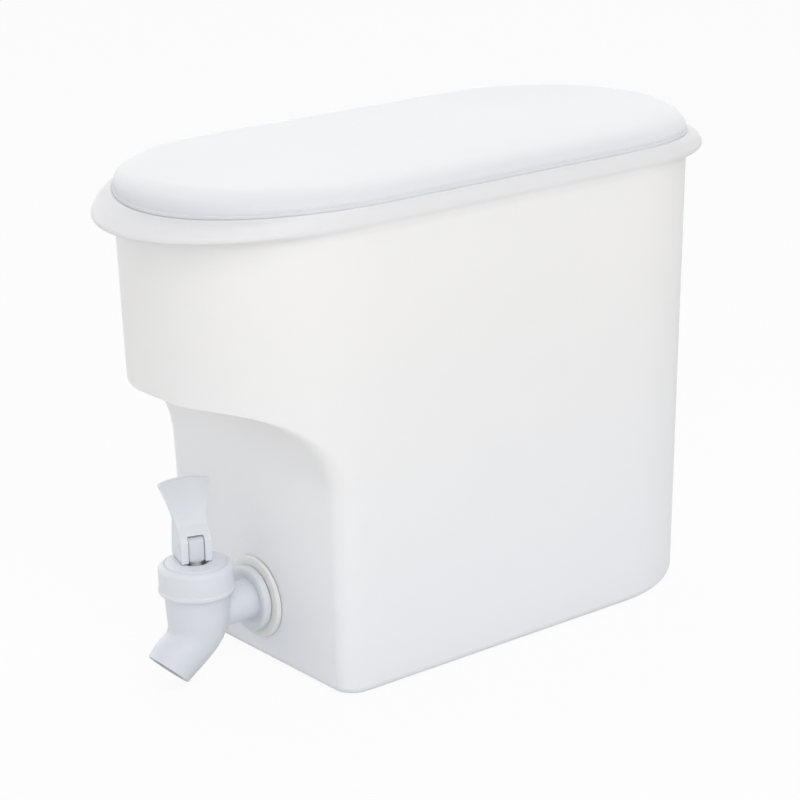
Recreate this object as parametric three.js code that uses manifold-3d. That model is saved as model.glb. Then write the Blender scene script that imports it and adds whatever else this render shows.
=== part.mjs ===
// Fridge water jug with a tap: a frosted oval tub with a recess for the tap, a lift-off lid and a
// push-lever tap. Millimetres, +Z up. The origin is the middle of the flat base, and the tap end
// faces -Y.
import * as THREE from 'three';
import { mergeVertices } from 'three/addons/utils/BufferGeometryUtils.js';
import Module from 'manifold-3d';

const wasm = await Module();
wasm.setup();

// Fits
const seatGap = 0.3; // between pieces that rest on each other
const runGap = 0.35; // round pieces that turn, slide or screw in each other
const lidPlugGap = 0.5; // round the lid's plug in the mouth
const cutOver = 2; // how far a cutter runs past what it cuts

// Tub, sizes taken on the outside
const tubHeight = 178.4;
const tubHalfWidth = 58.1; // at the rim
const tubEndSpacing = 123.4; // between the centres of the two round ends
const tubDraftDegrees = 1.33;
const tubWall = 1.8;
const tubFloor = 2.2;
const tubFootRound = 3.6;
const tubInnerFootRound = 2.4;

// Recess that holds the tap, at the front end of the tub
const recessDepth = 39.5; // from the tub's front tip back to the recess wall
const recessCeiling = 110.6;
const recessLipRound = 2;
const recessInnerLipRound = 0.7;
const recessCornerRound = 7.3;

// Rim of the tub, with an ear to lift it by at each end
const rimBand = 9; // height of the thickened rim on the outside
const rimStep = 1.5; // how far the mouth stands out from the wall
const rimRound = 0.6;
const rimLedgeDepth = 6.4; // from the rim's top down to the inner ledge
const rimBeadReach = 2.5; // the rim's widest line, measured from the wall
const earReach = 10.2; // the ear's tip, measured from the wall
const earDrop = 6.2; // the ear's edge below the rim's top
const earThickness = 2.5;
const earRootDrop = 3.6; // where the underside of the ear leaves the mouth
const earSlopeReachShare = 0.5; // where the ear's slope is at its fullest, on the way out
const earSlopeDropShare = 0.33; // and on the way down

// Lid
const lidSideOverhang = 0.4; // how far the lid's sides stand out past the rim's
const lidTipInset = 1.95; // how far its tips stay short of the rim's
const lidHeight = 9.5; // from its seat to the top of the rounded edge
const lidEdgeRound = 7.8;
const lidCrown = 1;
const lidCrownShares = [0.67, 0.33]; // rings of the crown, from the edge's top to the middle
const lidWall = 2;
const lidLipReach = 0.4;
const lidLipHeight = 1;
const lidPlugLift = 0.6; // the plug's foot above the ledge in the mouth
const lidPlugWall = 1.8;

// Tap, measured from the point where its barrel and its inlet cross
const tapAxisHeight = 24.5; // above the base
const tapReach = 26.8; // from the recess wall to the barrel's axis
const leverTurnDegrees = 73; // how far the lever is swivelled from straight ahead

const barrelRadius = 11.2;
const barrelWall = 1.8;
const barrelFlare = 0.8; // how far the barrel stands out under the cap, from where it tapers
const barrelBendDrop = 2.4; // where the barrel turns into the spout

const spoutElbowRadius = 10.3;
const spoutElbowReach = 4; // of the elbow's middle, forward and down
const spoutElbowDrop = 10.4;
const spoutMouthRadius = 8.6;
const spoutReach = 14;
const spoutClearance = 0.4; // the mouth's lowest point above the base
const spoutDegrees = 44; // from straight down
const spoutWall = 1.5;

const valveSeatDrop = 4.6;
const valvePortRadius = 4.4;
const valvePortDepth = 9; // from the seat down into the spout

const inletRadius = 7.4;
const inletBoreRadius = 4.4;
const flangeRadius = 12.4;
const flangeWidth = 3.2;
const flangeRound = 1;
const gasketRadius = 15.6;
const gasketWidth = 1.7;
const gasketRound = 1.4;
const innerGasketRadius = 13;
const innerGasketWidth = 2;
const innerGasketRound = 0.5;
const nutSides = 6;
const nutRadius = 13.4; // across its corners
const nutWidth = 7;
const nutWasherWidth = 1.4;
const inletThreadTail = 3; // thread left beyond the nut

// Cap that closes the barrel
const capWall = 2.15;
const capSeatHeight = 9.4;
const capHeight = 10.8;
const capTopWall = 2.2;
const capBevel = 1.2;
const capBeadReach = 0.6;
const capBeadHeight = 1.8;
const capBoreRadius = 4.6;
const capPadInset = 0.7; // of the raised disc that the lever's heels ride on, from the bevel
const capPadHeight = 0.5;

// Diaphragm under the cap
const diaphragmThickness = 1.4;
const diaphragmConeDrop = 5;
const diaphragmHubRadius = 4.2;
const diaphragmHubHeight = 3;

// Valve stem and plug
const stemRadius = 2.3;
const stemBulbRadius = 3.4;
const stemBulbHeight = 2.4;
const stemHeadDepth = 5.4;
const stemHeadRise = 3; // head above the pin's axis
const stemShoulderDrop = 5.2; // where the flat head meets the round stem, below the pin's axis
const plugRadius = 6.8;
const plugHeight = 6;
const plugNoseGap = 0.5; // round the nose in the port
const plugNoseDrop = 1.4;
const plugBulbLift = 1.4; // bottom of the stem's bulb above the plug's underside

// Lever, measured from the pin's axis: forward is the way that the paddle faces
const pinRadius = 1.1;
const pinEndInset = 0.4;
const leverPinHeight = 5.6; // above the pad that the heels ride on
const leverWidth = 11.6;
const leverSlotWidth = 6.2;
const leverSlotHeight = 9.8;
const leverFrontReach = 2.8;
const leverBackReach = 10.6;
const leverCamRadius = 8; // lift for each radian of tilt
const leverTiltDegrees = 30;
const leverNeckHeight = 13;
const leverNeckFrontBack = 2.2; // the neck's front face behind the pin's axis
const leverNeckBackReach = 8.9;
const leverTopHeight = 27.6;
const leverTopBack = 9.4; // the paddle's upper corners behind the pin's axis
const leverTopHalfWidth = 10.3;
const leverTopThickness = 1.7;
const leverCupDepth = 3.4;
const leverFlarePower = 1.4; // how late the paddle widens on its way up
const paddleShares = [0, 0.2, 0.4, 0.6, 0.8, 1];

// How finely round forms are divided
const turnSteps = 40;
const smallTurnSteps = 24;
const arcSteps = 7;
const roundSteps = 3;
const planSteps = { chord: 1, corner: 4, front: 10, side: 1, rear: 12 };

const frosted = { color: 0xeceae8, roughness: 0.42, metalness: 0 };
const lidWhite = { color: 0xf1f2f6, roughness: 0.4, metalness: 0 };
const tapWhite = { color: 0xe1e4ea, roughness: 0.35, metalness: 0 };
const silicone = { color: 0xcfd0cd, roughness: 0.6, metalness: 0 };

const quarter = Math.PI / 2;
const radians = THREE.MathUtils.degToRad;
const lerp = THREE.MathUtils.lerp;

// Closed solids and cutting

// Merges a geometry's corners, drops empty triangles and turns its faces outward.
function closedSolid(geometry) {
  const bare = geometry.clone();
  bare.deleteAttribute('normal');
  bare.deleteAttribute('uv');
  const merged = mergeVertices(bare);
  const place = merged.attributes.position;
  const corners = merged.index.array;
  const kept = [];
  let volume = 0;
  for (let i = 0; i < corners.length; i += 3) {
    const [a, b, c] = [corners[i], corners[i + 1], corners[i + 2]];
    if (a === b || b === c || c === a) continue;
    kept.push(a, b, c);
    const p = new THREE.Vector3().fromBufferAttribute(place, a);
    const q = new THREE.Vector3().fromBufferAttribute(place, b);
    const r = new THREE.Vector3().fromBufferAttribute(place, c);
    volume += p.dot(q.cross(r));
  }
  if (volume < 0) kept.reverse();
  const mesh = new wasm.Mesh({
    numProp: 3,
    vertProperties: new Float32Array(place.array),
    triVerts: new Uint32Array(kept),
  });
  return new wasm.Manifold(mesh);
}

function geometryOf(solid) {
  const mesh = solid.getMesh();
  const geometry = new THREE.BufferGeometry();
  geometry.setAttribute('position', new THREE.BufferAttribute(mesh.vertProperties, 3));
  geometry.setIndex(new THREE.BufferAttribute(mesh.triVerts, 1));
  geometry.computeVertexNormals();
  return geometry;
}

function piece(name, solid, look) {
  const mesh = new THREE.Mesh(geometryOf(solid), new THREE.MeshStandardMaterial(look));
  mesh.name = name;
  return mesh;
}

// Skins a stack of rings that all have the same number of points, and closes both ends.
function loft(rings) {
  const count = rings[0].length;
  const points = rings.flat();
  const middleOf = (ring) => {
    const sum = ring.reduce((total, p) => total.add(p), new THREE.Vector3());
    return sum.divideScalar(ring.length);
  };
  points.push(middleOf(rings[0]), middleOf(rings[rings.length - 1]));
  const faces = [];
  for (let i = 0; i < rings.length - 1; i += 1) {
    for (let j = 0; j < count; j += 1) {
      const next = (j + 1) % count;
      const [a, b] = [i * count + j, i * count + next];
      faces.push(a, b, b + count, a, b + count, a + count);
    }
  }
  const lastRing = (rings.length - 1) * count;
  for (let j = 0; j < count; j += 1) {
    const next = (j + 1) % count;
    faces.push(points.length - 2, next, j);
    faces.push(points.length - 1, lastRing + j, lastRing + next);
  }
  const geometry = new THREE.BufferGeometry().setFromPoints(points);
  geometry.setIndex(faces);
  return closedSolid(geometry);
}

// Turned solids: a closed profile of [radius, along] pairs, about Y or about Z
function turnedAlongY(profile, steps = turnSteps) {
  const closed = [...profile, profile[0]].map(([r, along]) => new THREE.Vector2(r, along));
  return closedSolid(new THREE.LatheGeometry(closed, steps));
}

function turnedAlongZ(profile, steps = turnSteps) {
  const closed = [...profile, profile[0]].map(([r, along]) => new THREE.Vector2(r, along));
  return closedSolid(new THREE.LatheGeometry(closed, steps).rotateX(quarter));
}

function rodZ(radius, bottom, top, steps = turnSteps) {
  const rod = new THREE.CylinderGeometry(radius, radius, top - bottom, steps).rotateX(quarter);
  return closedSolid(rod.translate(0, 0, (bottom + top) / 2));
}

function rodY(radius, start, end, steps = turnSteps) {
  const rod = new THREE.CylinderGeometry(radius, radius, end - start, steps);
  return closedSolid(rod.translate(0, (start + end) / 2, 0));
}

function rodX(radius, halfLength, steps = smallTurnSteps) {
  const rod = new THREE.CylinderGeometry(radius, radius, 2 * halfLength, steps);
  return closedSolid(rod.rotateZ(quarter));
}

function block(low, high) {
  const size = new THREE.Vector3().subVectors(high, low);
  const middle = new THREE.Vector3().addVectors(low, high).multiplyScalar(0.5);
  const box = new THREE.BoxGeometry(size.x, size.y, size.z);
  return closedSolid(box.translate(middle.x, middle.y, middle.z));
}

// A quarter round from one direction to the next, as [across, along] offsets from its centre
function roundPoints(radius, fromAngle, toAngle, steps = roundSteps) {
  const at = (k) => lerp(fromAngle, toAngle, k / steps);
  return Array.from({ length: steps + 1 }, (_, k) => [
    radius * Math.cos(at(k)),
    radius * Math.sin(at(k)),
  ]);
}

// Plan outlines of the tub and lid

function halfWidthAt(z) {
  return tubHalfWidth - (tubHeight - z) * Math.tan(radians(tubDraftDegrees));
}

// An oval with round ends. Each end is half an ellipse of half-width a and length b about a centre
// c from the middle. Its front may be cut off straight at frontY with rounded corners. Heights come
// from heightAt(share), the share running from 0 along the sides to 1 at the tips.
function oval({ a, b = a, c, frontY = -Infinity, corner = a / 2, heightAt }) {
  const cut = Math.max(frontY, -(c + b));
  const round = Math.min(corner, a);
  const cornerY = cut + round;
  const startY = Math.max(-c, cornerY);
  const tangent = Math.asin(THREE.MathUtils.clamp((cornerY - startY) / (b - round), -1, 0));
  const cornerX = (a - round) * Math.cos(tangent);
  const half = [];
  const add = (x, y) => {
    const beyond = Math.max(Math.abs(y) - c, 0) / b;
    half.push(new THREE.Vector3(x, y, heightAt(Math.min(beyond * beyond, 1))));
  };
  for (let k = 0; k < planSteps.chord; k += 1) add((cornerX * k) / planSteps.chord, cut);
  for (let k = 0; k < planSteps.corner; k += 1) {
    const turn = lerp(-quarter, tangent, k / planSteps.corner);
    add(cornerX + round * Math.cos(turn), cornerY + round * Math.sin(turn));
  }
  for (let k = 0; k < planSteps.front; k += 1) {
    const turn = lerp(tangent, 0, k / planSteps.front);
    add(a * Math.cos(turn), startY + b * Math.sin(turn));
  }
  for (let k = 0; k < planSteps.side; k += 1) add(a, lerp(startY, c, k / planSteps.side));
  for (let k = 0; k <= planSteps.rear; k += 1) {
    const turn = (quarter * k) / planSteps.rear;
    add(a * Math.cos(turn), c + b * Math.sin(turn));
  }
  const mirrored = half.slice(1, -1).map((p) => new THREE.Vector3(-p.x, p.y, p.z));
  return [...half, ...mirrored.reverse()];
}

// Tub

function recessWallY(z) {
  return -(tubEndSpacing / 2 + halfWidthAt(z) - recessDepth);
}

// One level ring of the tub, set in from the outside by inset, its front wall at frontY
function tubRing(z, inset, frontY) {
  const corner = Math.max(recessCornerRound - inset, tubWall);
  const a = halfWidthAt(z) - inset;
  return oval({ a, c: tubEndSpacing / 2, frontY, corner, heightAt: () => z });
}

// The recess from its wall up over the arc and out to the lip, for a skin set in by inset
function recessRings(inset) {
  const arcRadius = recessDepth - recessLipRound;
  const arcZ = recessCeiling - arcRadius;
  const arcY = recessWallY(arcZ) - arcRadius;
  const arc = roundPoints(arcRadius + inset, 0, quarter, arcSteps);
  const rings = arc.map(([y, z]) => tubRing(arcZ + z, inset, arcY + y));
  const lipZ = recessCeiling + recessLipRound;
  const lipY = -(tubEndSpacing / 2 + halfWidthAt(lipZ)) + recessLipRound;
  const lipRadius = Math.max(recessLipRound - inset, recessInnerLipRound);
  const lip = roundPoints(lipRadius, -quarter, -Math.PI).slice(1);
  return [...rings, ...lip.map(([y, z]) => tubRing(lipZ + z, inset, lipY + y))];
}

function footRings(radius, floor, inset) {
  return roundPoints(radius, -quarter, 0, roundSteps + 1).map(([across, up]) => {
    const z = floor + radius + up;
    const setIn = inset + radius - across;
    return tubRing(z, setIn, recessWallY(z) + setIn);
  });
}

// One ring of the rim: how far it stands out from the wall and its height, on the sides and at
// the tips
function rimRing([sideOut, sideZ], [tipOut, tipZ]) {
  const wall = tubHalfWidth;
  const heightAt = (share) => lerp(sideZ, tipZ, share);
  return oval({ a: wall + sideOut, b: wall + tipOut, c: tubEndSpacing / 2, heightAt });
}

function rimRings() {
  const top = tubHeight;
  const edge = top - earDrop;
  const half = earThickness / 2;
  const tubTaper = tubHalfWidth - halfWidthAt(top - rimBand);
  const bandFoot = [-tubTaper, top - rimBand];
  const mouth = rimStep - tubWall;
  const earSlope = [lerp(rimStep, earReach, earSlopeReachShare), top - earDrop * earSlopeDropShare];
  return [
    rimRing(bandFoot, bandFoot),
    rimRing([rimStep / 2, edge - half - rimRound], [rimStep - rimRound, top - earRootDrop - rimRound]),
    rimRing([rimStep, edge - half], [rimStep + rimRound, top - earRootDrop]),
    rimRing([rimBeadReach - rimRound, edge - half + rimRound / 2], [earReach - half, edge - half]),
    rimRing([rimBeadReach, edge], [earReach, edge - half / 2]),
    rimRing([rimBeadReach, edge + half / 2], [earReach, edge + half / 2]),
    rimRing([rimBeadReach - rimRound, edge + half], [earReach - half, edge + half]),
    rimRing([rimStep, top - 2 * rimRound], earSlope),
    rimRing([rimStep, top - rimRound], [rimStep, top - rimRound]),
    rimRing([rimStep - rimRound, top], [rimStep - rimRound, top]),
    rimRing([mouth + rimRound, top], [mouth + rimRound, top]),
    rimRing([mouth, top - rimRound], [mouth, top - rimRound]),
    rimRing([mouth, top - rimLedgeDepth], [mouth, top - rimLedgeDepth]),
  ];
}

function tubSolid() {
  const ledgeZ = tubHeight - rimLedgeDepth - rimStep;
  const innerWall = tubRing(ledgeZ, tubWall, -Infinity);
  const outside = [...footRings(tubFootRound, 0, 0), ...recessRings(0), ...rimRings()];
  const inside = [...footRings(tubInnerFootRound, tubFloor, tubWall), ...recessRings(tubWall), innerWall];
  const shell = loft([...outside, ...inside.reverse()]);
  const wallY = recessWallY(tapAxisHeight);
  const hole = rodY(inletRadius + runGap, wallY - tubWall - cutOver, wallY + tubWall + cutOver);
  return shell.subtract(hole.translate(0, 0, tapAxisHeight));
}

// Lid

function lidRing(a, c, z) {
  return oval({ a, c, heightAt: () => z });
}

function lidSolid() {
  const side = tubHalfWidth + rimStep + lidSideOverhang;
  const c = tubEndSpacing / 2 - lidSideOverhang - lidTipInset;
  const plugC = tubEndSpacing / 2;
  const seat = tubHeight + seatGap;
  const top = seat + lidHeight;
  const plug = tubHalfWidth + rimStep - tubWall - lidPlugGap;
  const plugFoot = tubHeight - rimLedgeDepth + lidPlugLift;
  const cavity = plug - lidPlugWall;
  const ceiling = top - lidWall;
  const edgeRound = Math.min(lidEdgeRound, lidHeight - lidLipHeight);
  const innerRound = edgeRound - lidWall;
  const shoulder = roundPoints(edgeRound, 0, quarter, roundSteps + 2);
  const hollow = roundPoints(innerRound, quarter, 0, roundSteps);
  const crown = (share) => {
    const z = top + lidCrown * (1 - share * share);
    return lidRing((side - edgeRound) * share, c * share, z);
  };
  return loft([
    ...hollow.map(([out, up]) => lidRing(cavity - innerRound + out, plugC, ceiling - innerRound + up)),
    lidRing(cavity, plugC, plugFoot),
    lidRing(plug - rimRound, plugC, plugFoot),
    lidRing(plug, plugC, plugFoot + rimRound),
    lidRing(plug, plugC, seat),
    lidRing(side + lidLipReach, c, seat),
    lidRing(side + lidLipReach, c, seat + lidLipHeight - rimRound),
    lidRing(side, c, seat + lidLipHeight),
    ...shoulder.map(([out, up]) => lidRing(side - edgeRound + out, c, top - edgeRound + up)),
    ...lidCrownShares.map(crown),
  ]);
}

// Tap

// A level or tilted circle that can be skinned, centred in the plane x = 0
function tiltedCircle(radius, y, z, tilt) {
  return Array.from({ length: turnSteps }, (_, k) => {
    const turn = (2 * Math.PI * k) / turnSteps;
    const point = new THREE.Vector3(radius * Math.cos(turn), radius * Math.sin(turn), 0);
    return point.applyAxisAngle(new THREE.Vector3(1, 0, 0), -tilt).add(new THREE.Vector3(0, y, z));
  });
}

// How far the middle of the spout's mouth lies below the tap's axis
function spoutDrop() {
  return tapAxisHeight - spoutClearance - spoutMouthRadius * Math.sin(radians(spoutDegrees));
}

// The spout's rings, set in from the outside by inset: the barrel's end, the elbow and the mouth
function spoutRings(inset) {
  const tilt = radians(spoutDegrees);
  return [
    tiltedCircle(barrelRadius - inset, 0, -barrelBendDrop, 0),
    tiltedCircle(spoutElbowRadius - inset, -spoutElbowReach, -spoutElbowDrop, tilt / 2),
    tiltedCircle(spoutMouthRadius - inset, -spoutReach, -spoutDrop(), tilt),
  ];
}

// The spout's bore, from its elbow to beyond the mouth
function spoutBore() {
  const [elbow, mouth] = spoutRings(spoutWall).slice(1);
  const tilt = radians(spoutDegrees);
  const beyond = new THREE.Vector3(0, -Math.sin(tilt), -Math.cos(tilt)).multiplyScalar(cutOver);
  return loft([elbow, mouth, mouth.map((point) => point.clone().add(beyond))]);
}

// The barrel's upper edge, under the diaphragm and the cap's top
function neckHeight() {
  return capSeatHeight + capHeight - capTopWall - diaphragmThickness - 2 * seatGap;
}

function tapBodySolid() {
  const flangeFace = tapReach - seatGap - gasketWidth - seatGap;
  const flangeMiddle = flangeFace - flangeWidth / 2;
  const inletEnd = tapReach + tubWall + 3 * seatGap + innerGasketWidth + nutWidth + inletThreadTail;
  const flangeEdge = (side) => roundPoints(flangeRound, 0, side * quarter).map(([out, along]) => [
    flangeRadius - flangeRound + out,
    flangeMiddle + side * (flangeWidth / 2 - flangeRound) + along,
  ]);
  const flange = turnedAlongY([
    [inletBoreRadius, flangeMiddle - flangeWidth / 2],
    ...flangeEdge(-1).reverse(),
    ...flangeEdge(1),
    [inletBoreRadius, flangeMiddle + flangeWidth / 2],
  ]);
  const underCap = capSeatHeight - seatGap;
  const barrelTop = [
    tiltedCircle(barrelRadius, 0, neckHeight(), 0),
    tiltedCircle(barrelRadius, 0, underCap, 0),
    tiltedCircle(barrelRadius + barrelFlare, 0, underCap - barrelFlare / 2, 0),
  ];
  const outside = loft([...barrelTop, ...spoutRings(0)])
    .add(rodY(inletRadius, 0, inletEnd))
    .add(flange);
  return outside
    .subtract(rodZ(barrelRadius - barrelWall, -valveSeatDrop, neckHeight() + cutOver))
    .subtract(spoutBore())
    .subtract(rodZ(valvePortRadius, -valveSeatDrop - valvePortDepth, 0))
    .subtract(rodY(inletBoreRadius, 0, inletEnd + cutOver));
}

// A washer on the inlet. Its free face has a round edge, and its other face is cut to the draft of
// the tub's wall. The side is -1 in front of the wall and 1 behind it.
function washer(radius, round, freeFace, wallFace, side) {
  const bore = inletRadius + runGap;
  const pastWall = wallFace - side * cutOver;
  const edge = roundPoints(round, 0, side * quarter).map(([out, along]) => [
    radius - round + out,
    freeFace - side * round + along,
  ]);
  const ring = turnedAlongY([[bore, pastWall], [radius, pastWall], ...edge, [bore, freeFace]]);
  const reach = 2 * radius;
  const wallBlock = block(new THREE.Vector3(-reach, 0, -reach), new THREE.Vector3(reach, reach, reach));
  const turn = side < 0 ? tubDraftDegrees : tubDraftDegrees + 180;
  return ring.subtract(wallBlock.rotate(turn, 0, 0).translate(0, wallFace, 0));
}

function outerGasketSolid() {
  const wallFace = tapReach - seatGap;
  return washer(gasketRadius, gasketRound, wallFace - gasketWidth, wallFace, -1);
}

function innerGasketSolid() {
  const wallFace = tapReach + tubWall + seatGap;
  return washer(innerGasketRadius, innerGasketRound, wallFace + innerGasketWidth, wallFace, 1);
}

function lockNutSolid() {
  const start = tapReach + tubWall + innerGasketWidth + 2 * seatGap;
  const hex = rodY(nutRadius, start + nutWasherWidth, start + nutWidth, nutSides);
  const foot = rodY(innerGasketRadius, start, start + nutWasherWidth);
  return hex.add(foot).subtract(rodY(inletRadius + runGap, start - cutOver, start + nutWidth + cutOver));
}

function capSolid() {
  const foot = capSeatHeight;
  const top = foot + capHeight;
  const bore = barrelRadius + runGap;
  const side = bore + capWall;
  const bead = side + capBeadReach;
  const beadEdge = capBeadHeight / 3;
  const pad = side - capBevel - capPadInset;
  const outside = turnedAlongZ([
    [capBoreRadius, foot],
    [bead - beadEdge, foot],
    [bead, foot + beadEdge],
    [bead, foot + capBeadHeight - beadEdge],
    [side, foot + capBeadHeight],
    ...roundPoints(capBevel, 0, quarter).map(([out, up]) => [side - capBevel + out, top - capBevel + up]),
    [pad + capPadHeight / 2, top],
    [pad, top + capPadHeight],
    [capBoreRadius, top + capPadHeight],
  ]);
  return outside.subtract(rodZ(bore, foot - cutOver, top - capTopWall));
}

function diaphragmSolid() {
  const foot = neckHeight() + seatGap;
  const top = foot + diaphragmThickness;
  const hubTop = foot - diaphragmConeDrop;
  const bore = stemRadius + runGap;
  const brim = barrelRadius - seatGap;
  const cone = barrelRadius - barrelWall - seatGap;
  return turnedAlongZ([
    [bore, hubTop - diaphragmHubHeight],
    [diaphragmHubRadius, hubTop - diaphragmHubHeight],
    [diaphragmHubRadius, hubTop],
    [cone - diaphragmThickness, foot],
    [brim, foot],
    [brim, top],
    [cone - 2 * diaphragmThickness, top],
    [diaphragmHubRadius - diaphragmThickness / 2, hubTop + diaphragmThickness],
    [bore, hubTop + diaphragmThickness],
  ], smallTurnSteps);
}

function padHeight() {
  return capSeatHeight + capHeight + capPadHeight;
}

function pinHeight() {
  return padHeight() + seatGap + leverPinHeight;
}

function valvePlugSolid() {
  const foot = -valveSeatDrop + seatGap;
  const top = foot + plugHeight;
  const bulbFoot = foot + plugBulbLift;
  const nose = foot - plugNoseDrop;
  const noseRadius = valvePortRadius - plugNoseGap;
  const outside = turnedAlongZ([
    [0, nose],
    [noseRadius - plugNoseDrop / 2, nose],
    [noseRadius, foot],
    [plugRadius, foot],
    [plugRadius, top - plugBulbLift],
    [plugRadius - plugBulbLift, top],
    [0, top],
  ], smallTurnSteps);
  const socket = rodZ(stemBulbRadius + seatGap, bulbFoot - seatGap, bulbFoot + stemBulbHeight + seatGap, smallTurnSteps);
  return outside.subtract(socket).subtract(rodZ(stemRadius + seatGap, bulbFoot, top + cutOver, smallTurnSteps));
}

function valveStemSolid() {
  const bulbFoot = -valveSeatDrop + seatGap + plugBulbLift;
  const shoulder = pinHeight() - stemShoulderDrop;
  const headTop = pinHeight() + stemHeadRise;
  const rod = rodZ(stemRadius, bulbFoot, shoulder + stemRadius, smallTurnSteps);
  const bulb = rodZ(stemBulbRadius, bulbFoot, bulbFoot + stemBulbHeight, smallTurnSteps);
  const headWidth = leverSlotWidth - 2 * runGap;
  const halfHead = new THREE.Vector3(headWidth / 2, stemHeadDepth / 2, 0);
  const head = block(
    halfHead.clone().negate().setZ(shoulder),
    halfHead.clone().setZ(headTop),
  );
  const pinHole = rodX(pinRadius + seatGap, headWidth).translate(0, 0, pinHeight());
  return rod.add(bulb).add(head).subtract(pinHole);
}

function leverPinSolid() {
  return rodX(pinRadius, leverWidth / 2 - pinEndInset).translate(0, 0, pinHeight());
}

// The heel's outline from the side, as [y, z] from the pin's axis. Behind the flat it follows the
// curve whose lowest point drops by leverCamRadius for each radian of tilt.
function heelOutline() {
  const tilt = radians(leverTiltDegrees);
  const outline = [[-leverFrontReach, -leverPinHeight]];
  for (let k = 0; k <= arcSteps; k += 1) {
    const turn = (tilt * k) / arcSteps;
    const drop = leverPinHeight + leverCamRadius * turn;
    const y = drop * Math.sin(turn) + leverCamRadius * Math.cos(turn);
    const z = -drop * Math.cos(turn) + leverCamRadius * Math.sin(turn);
    if (y < leverBackReach) outline.push([y, z]);
  }
  const last = outline[outline.length - 1];
  outline.push([leverBackReach, last[1] + (leverBackReach - last[0]) * Math.tan(tilt)]);
  outline.push([leverNeckBackReach, leverNeckHeight - leverPinHeight]);
  outline.push([leverNeckFrontBack, leverNeckHeight - leverPinHeight]);
  outline.push([-leverFrontReach, leverFrontReach]);
  return outline;
}

// A level section of the paddle: cupped in front, following the cup behind
function paddleRing(share) {
  const halfWidth = lerp(leverWidth / 2, leverTopHalfWidth, share ** leverFlarePower);
  const z = lerp(leverNeckHeight, leverTopHeight, share) - leverPinHeight;
  const cup = leverCupDepth * share;
  const tipFront = lerp(leverNeckFrontBack, leverTopBack, share);
  const thickness = lerp(leverNeckBackReach - leverNeckFrontBack, leverTopThickness, Math.sqrt(share));
  const steps = 2 * arcSteps;
  const front = [];
  const back = [];
  for (let k = 0; k <= steps; k += 1) {
    const across = -1 + (2 * k) / steps;
    const y = tipFront + cup * (1 - across * across);
    front.push(new THREE.Vector3(across * halfWidth, y, z));
    back.push(new THREE.Vector3(across * halfWidth, y + thickness, z));
  }
  return [...front, ...back.reverse()];
}

function leverSolid() {
  const outline = heelOutline().map(([y, z]) => new THREE.Vector2(y, z));
  const plates = new THREE.ExtrudeGeometry(new THREE.Shape(outline), { depth: leverWidth, bevelEnabled: false });
  plates.rotateX(quarter).rotateZ(quarter).translate(-leverWidth / 2, 0, 0);
  const paddle = loft(paddleShares.map(paddleRing));
  const slotHalf = leverSlotWidth / 2;
  const slot = block(
    new THREE.Vector3(-slotHalf, -leverFrontReach - cutOver, -leverPinHeight - cutOver),
    new THREE.Vector3(slotHalf, leverBackReach + cutOver, leverSlotHeight - leverPinHeight),
  );
  const pinHole = rodX(pinRadius + seatGap, leverWidth);
  return closedSolid(plates).add(paddle).subtract(slot).subtract(pinHole);
}

// Assembly

const jug = new THREE.Group();
jug.add(piece('tub', tubSolid(), frosted));
jug.add(piece('lid', lidSolid(), lidWhite));

const tap = new THREE.Group();
tap.position.set(0, recessWallY(tapAxisHeight) - tapReach, tapAxisHeight);
tap.add(piece('tap_body', tapBodySolid(), tapWhite));
tap.add(piece('outer_gasket', outerGasketSolid(), silicone));
tap.add(piece('inner_gasket', innerGasketSolid(), silicone));
tap.add(piece('lock_nut', lockNutSolid(), tapWhite));
tap.add(piece('tap_cap', capSolid(), tapWhite));
tap.add(piece('diaphragm', diaphragmSolid(), silicone));
tap.add(piece('valve_plug', valvePlugSolid(), silicone));
jug.add(tap);

const swivel = new THREE.Group();
swivel.rotation.z = radians(leverTurnDegrees);
swivel.add(piece('valve_stem', valveStemSolid(), tapWhite));
swivel.add(piece('lever_pin', leverPinSolid(), tapWhite));
const lever = piece('lever', leverSolid(), tapWhite);
lever.position.z = pinHeight();
swivel.add(lever);
tap.add(swivel);

export default jug;
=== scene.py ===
import math
import bmesh
import bpy
import numpy as np
from mathutils import Matrix, Vector


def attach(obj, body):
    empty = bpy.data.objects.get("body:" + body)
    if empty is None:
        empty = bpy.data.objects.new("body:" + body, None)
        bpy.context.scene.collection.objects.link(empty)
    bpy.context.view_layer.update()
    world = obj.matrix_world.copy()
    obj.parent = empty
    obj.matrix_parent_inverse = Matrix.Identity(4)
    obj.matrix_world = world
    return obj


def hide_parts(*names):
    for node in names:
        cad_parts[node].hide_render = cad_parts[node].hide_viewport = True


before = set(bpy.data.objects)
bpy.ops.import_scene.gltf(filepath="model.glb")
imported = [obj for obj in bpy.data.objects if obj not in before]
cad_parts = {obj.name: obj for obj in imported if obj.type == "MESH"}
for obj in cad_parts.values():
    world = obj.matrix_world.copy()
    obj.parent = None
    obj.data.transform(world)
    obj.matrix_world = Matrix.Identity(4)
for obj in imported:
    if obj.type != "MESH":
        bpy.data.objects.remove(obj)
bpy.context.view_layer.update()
print("frame loaded")

# Shapes are worked out in millimetres and put into the mesh in metres.
toMetres = 0.001
# In metres: points nearer than the first are merged, and edges shorter than the second go.
mergeDistance, sliverLength = 2e-6, 1e-6


def lerp(a, b, share):
    return a + (b - a) * share


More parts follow.
